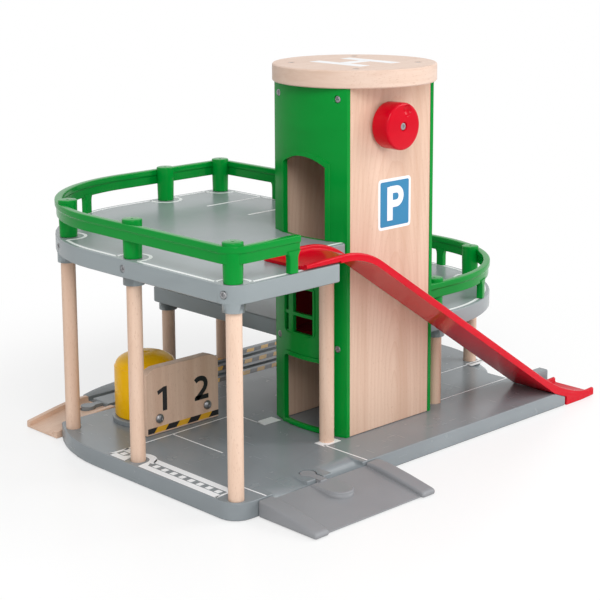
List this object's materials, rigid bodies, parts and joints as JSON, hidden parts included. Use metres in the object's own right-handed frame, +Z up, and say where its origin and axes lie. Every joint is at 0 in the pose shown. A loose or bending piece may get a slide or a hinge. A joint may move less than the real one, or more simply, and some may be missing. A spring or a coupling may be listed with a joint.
{
  "type": "toy parking garage",
  "caption": "Toy parking garage of grey decks on wooden posts, with green railings, a wooden tower whose red crank winds a lift, a red slide, ramps and a railway strip.",
  "frame": {"origin": "centre of the bounding box at table level", "axes": "+X along the front edge to the right, where the slide ends, +Y to the back, +Z up"},
  "size_m": [0.399, 0.3356, 0.2877],
  "materials": {
    "grey_plastic": "satin mid grey moulded plastic",
    "light_grey_plastic": "satin light grey moulded plastic",
    "green_plastic": "glossy bright green moulded plastic",
    "red_plastic": "glossy bright red moulded plastic",
    "dark_red_plastic": "dark red moulded plastic",
    "yellow_plastic": "glossy yellow moulded plastic",
    "beech": "pale beech with a clear satin lacquer",
    "steel": "plated screw steel",
    "cord": "thin braided dark cord"
  },
  "bodies": {
    "garage": {"base_plate": "grey_plastic", "tank_ring": "grey_plastic", "upper_deck": "light_grey_plastic", "middle_deck": "light_grey_plastic", "upper_railing": "green_plastic", "middle_railing": "green_plastic", "tower_left_shell": "green_plastic", "tower_right_shell": "green_plastic", "front_bush": "green_plastic", "back_bush": "green_plastic", "tank_body": "yellow_plastic", "post_back_left": "beech", "post_middle_left": "beech", "post_front_left": "beech", "post_front_right": "beech", "post_rear_left": "beech", "post_rear_middle": "beech", "post_tower_side": "beech", "post_right": "beech", "post_back_right": "beech", "post_top_left": "beech", "post_top_middle": "beech", "tower_front_panel": "beech", "tower_back_panel": "beech", "tower_lid": "beech", "lift_guide_front": "beech", "lift_guide_back": "beech", "bay_wall": "beech", "lid_screw_1": "steel", "lid_screw_2": "steel", "lid_screw_3": "steel", "lid_screw_4": "steel", "shell_screw_left_1": "steel", "shell_screw_left_2": "steel", "shell_screw_left_3": "steel", "shell_screw_left_4": "steel", "shell_screw_right_1": "steel", "shell_screw_right_2": "steel", "shell_screw_right_3": "steel", "shell_screw_right_4": "steel", "deck_screw_back_left": "steel", "deck_screw_middle_left": "steel", "deck_screw_front_left": "steel", "bay_bolt_1": "steel", "bay_bolt_2": "steel"},
    "crank": {"crank_knob": "red_plastic", "knob_screw": "steel", "crank_shaft": "steel", "cord_drum": "green_plastic"},
    "lift": {"lift_cabin": "dark_red_plastic", "lift_cord": "cord"},
    "slide": {"slide_ramp": "red_plastic"},
    "front_ramp": {"entry_ramp": "grey_plastic"},
    "track": {"ramp_track": "beech"}
  },
  "joints": [
    {"name": "crank_turn", "type": "hinge", "parent": "garage", "child": "crank", "pos_m": [-0.0095, -0.06875, 0.245], "axis": [0, -1, 0], "range_deg": [-659, 690]},
    {"name": "lift_travel", "type": "slide", "parent": "garage", "child": "lift", "axis": [0, 0, 1], "range_m": [-0.0714, 0.0747], "deforming": ["lift_cord"]},
    {"name": "slide_off", "type": "slide", "parent": "garage", "child": "slide", "axis": [0, 0, 1], "range_m": [0, 0.03]},
    {"name": "front_ramp_off", "type": "slide", "parent": "garage", "child": "front_ramp", "axis": [0, 0, 1], "range_m": [0, 0.02]},
    {"name": "track_off", "type": "slide", "parent": "garage", "child": "track", "axis": [0, 0, 1], "range_m": [0, 0.02]}
  ],
  "couplings": [
    {"joint": "lift_travel", "follows": "crank_turn", "m_per_rad": 0.0062}
  ]
}
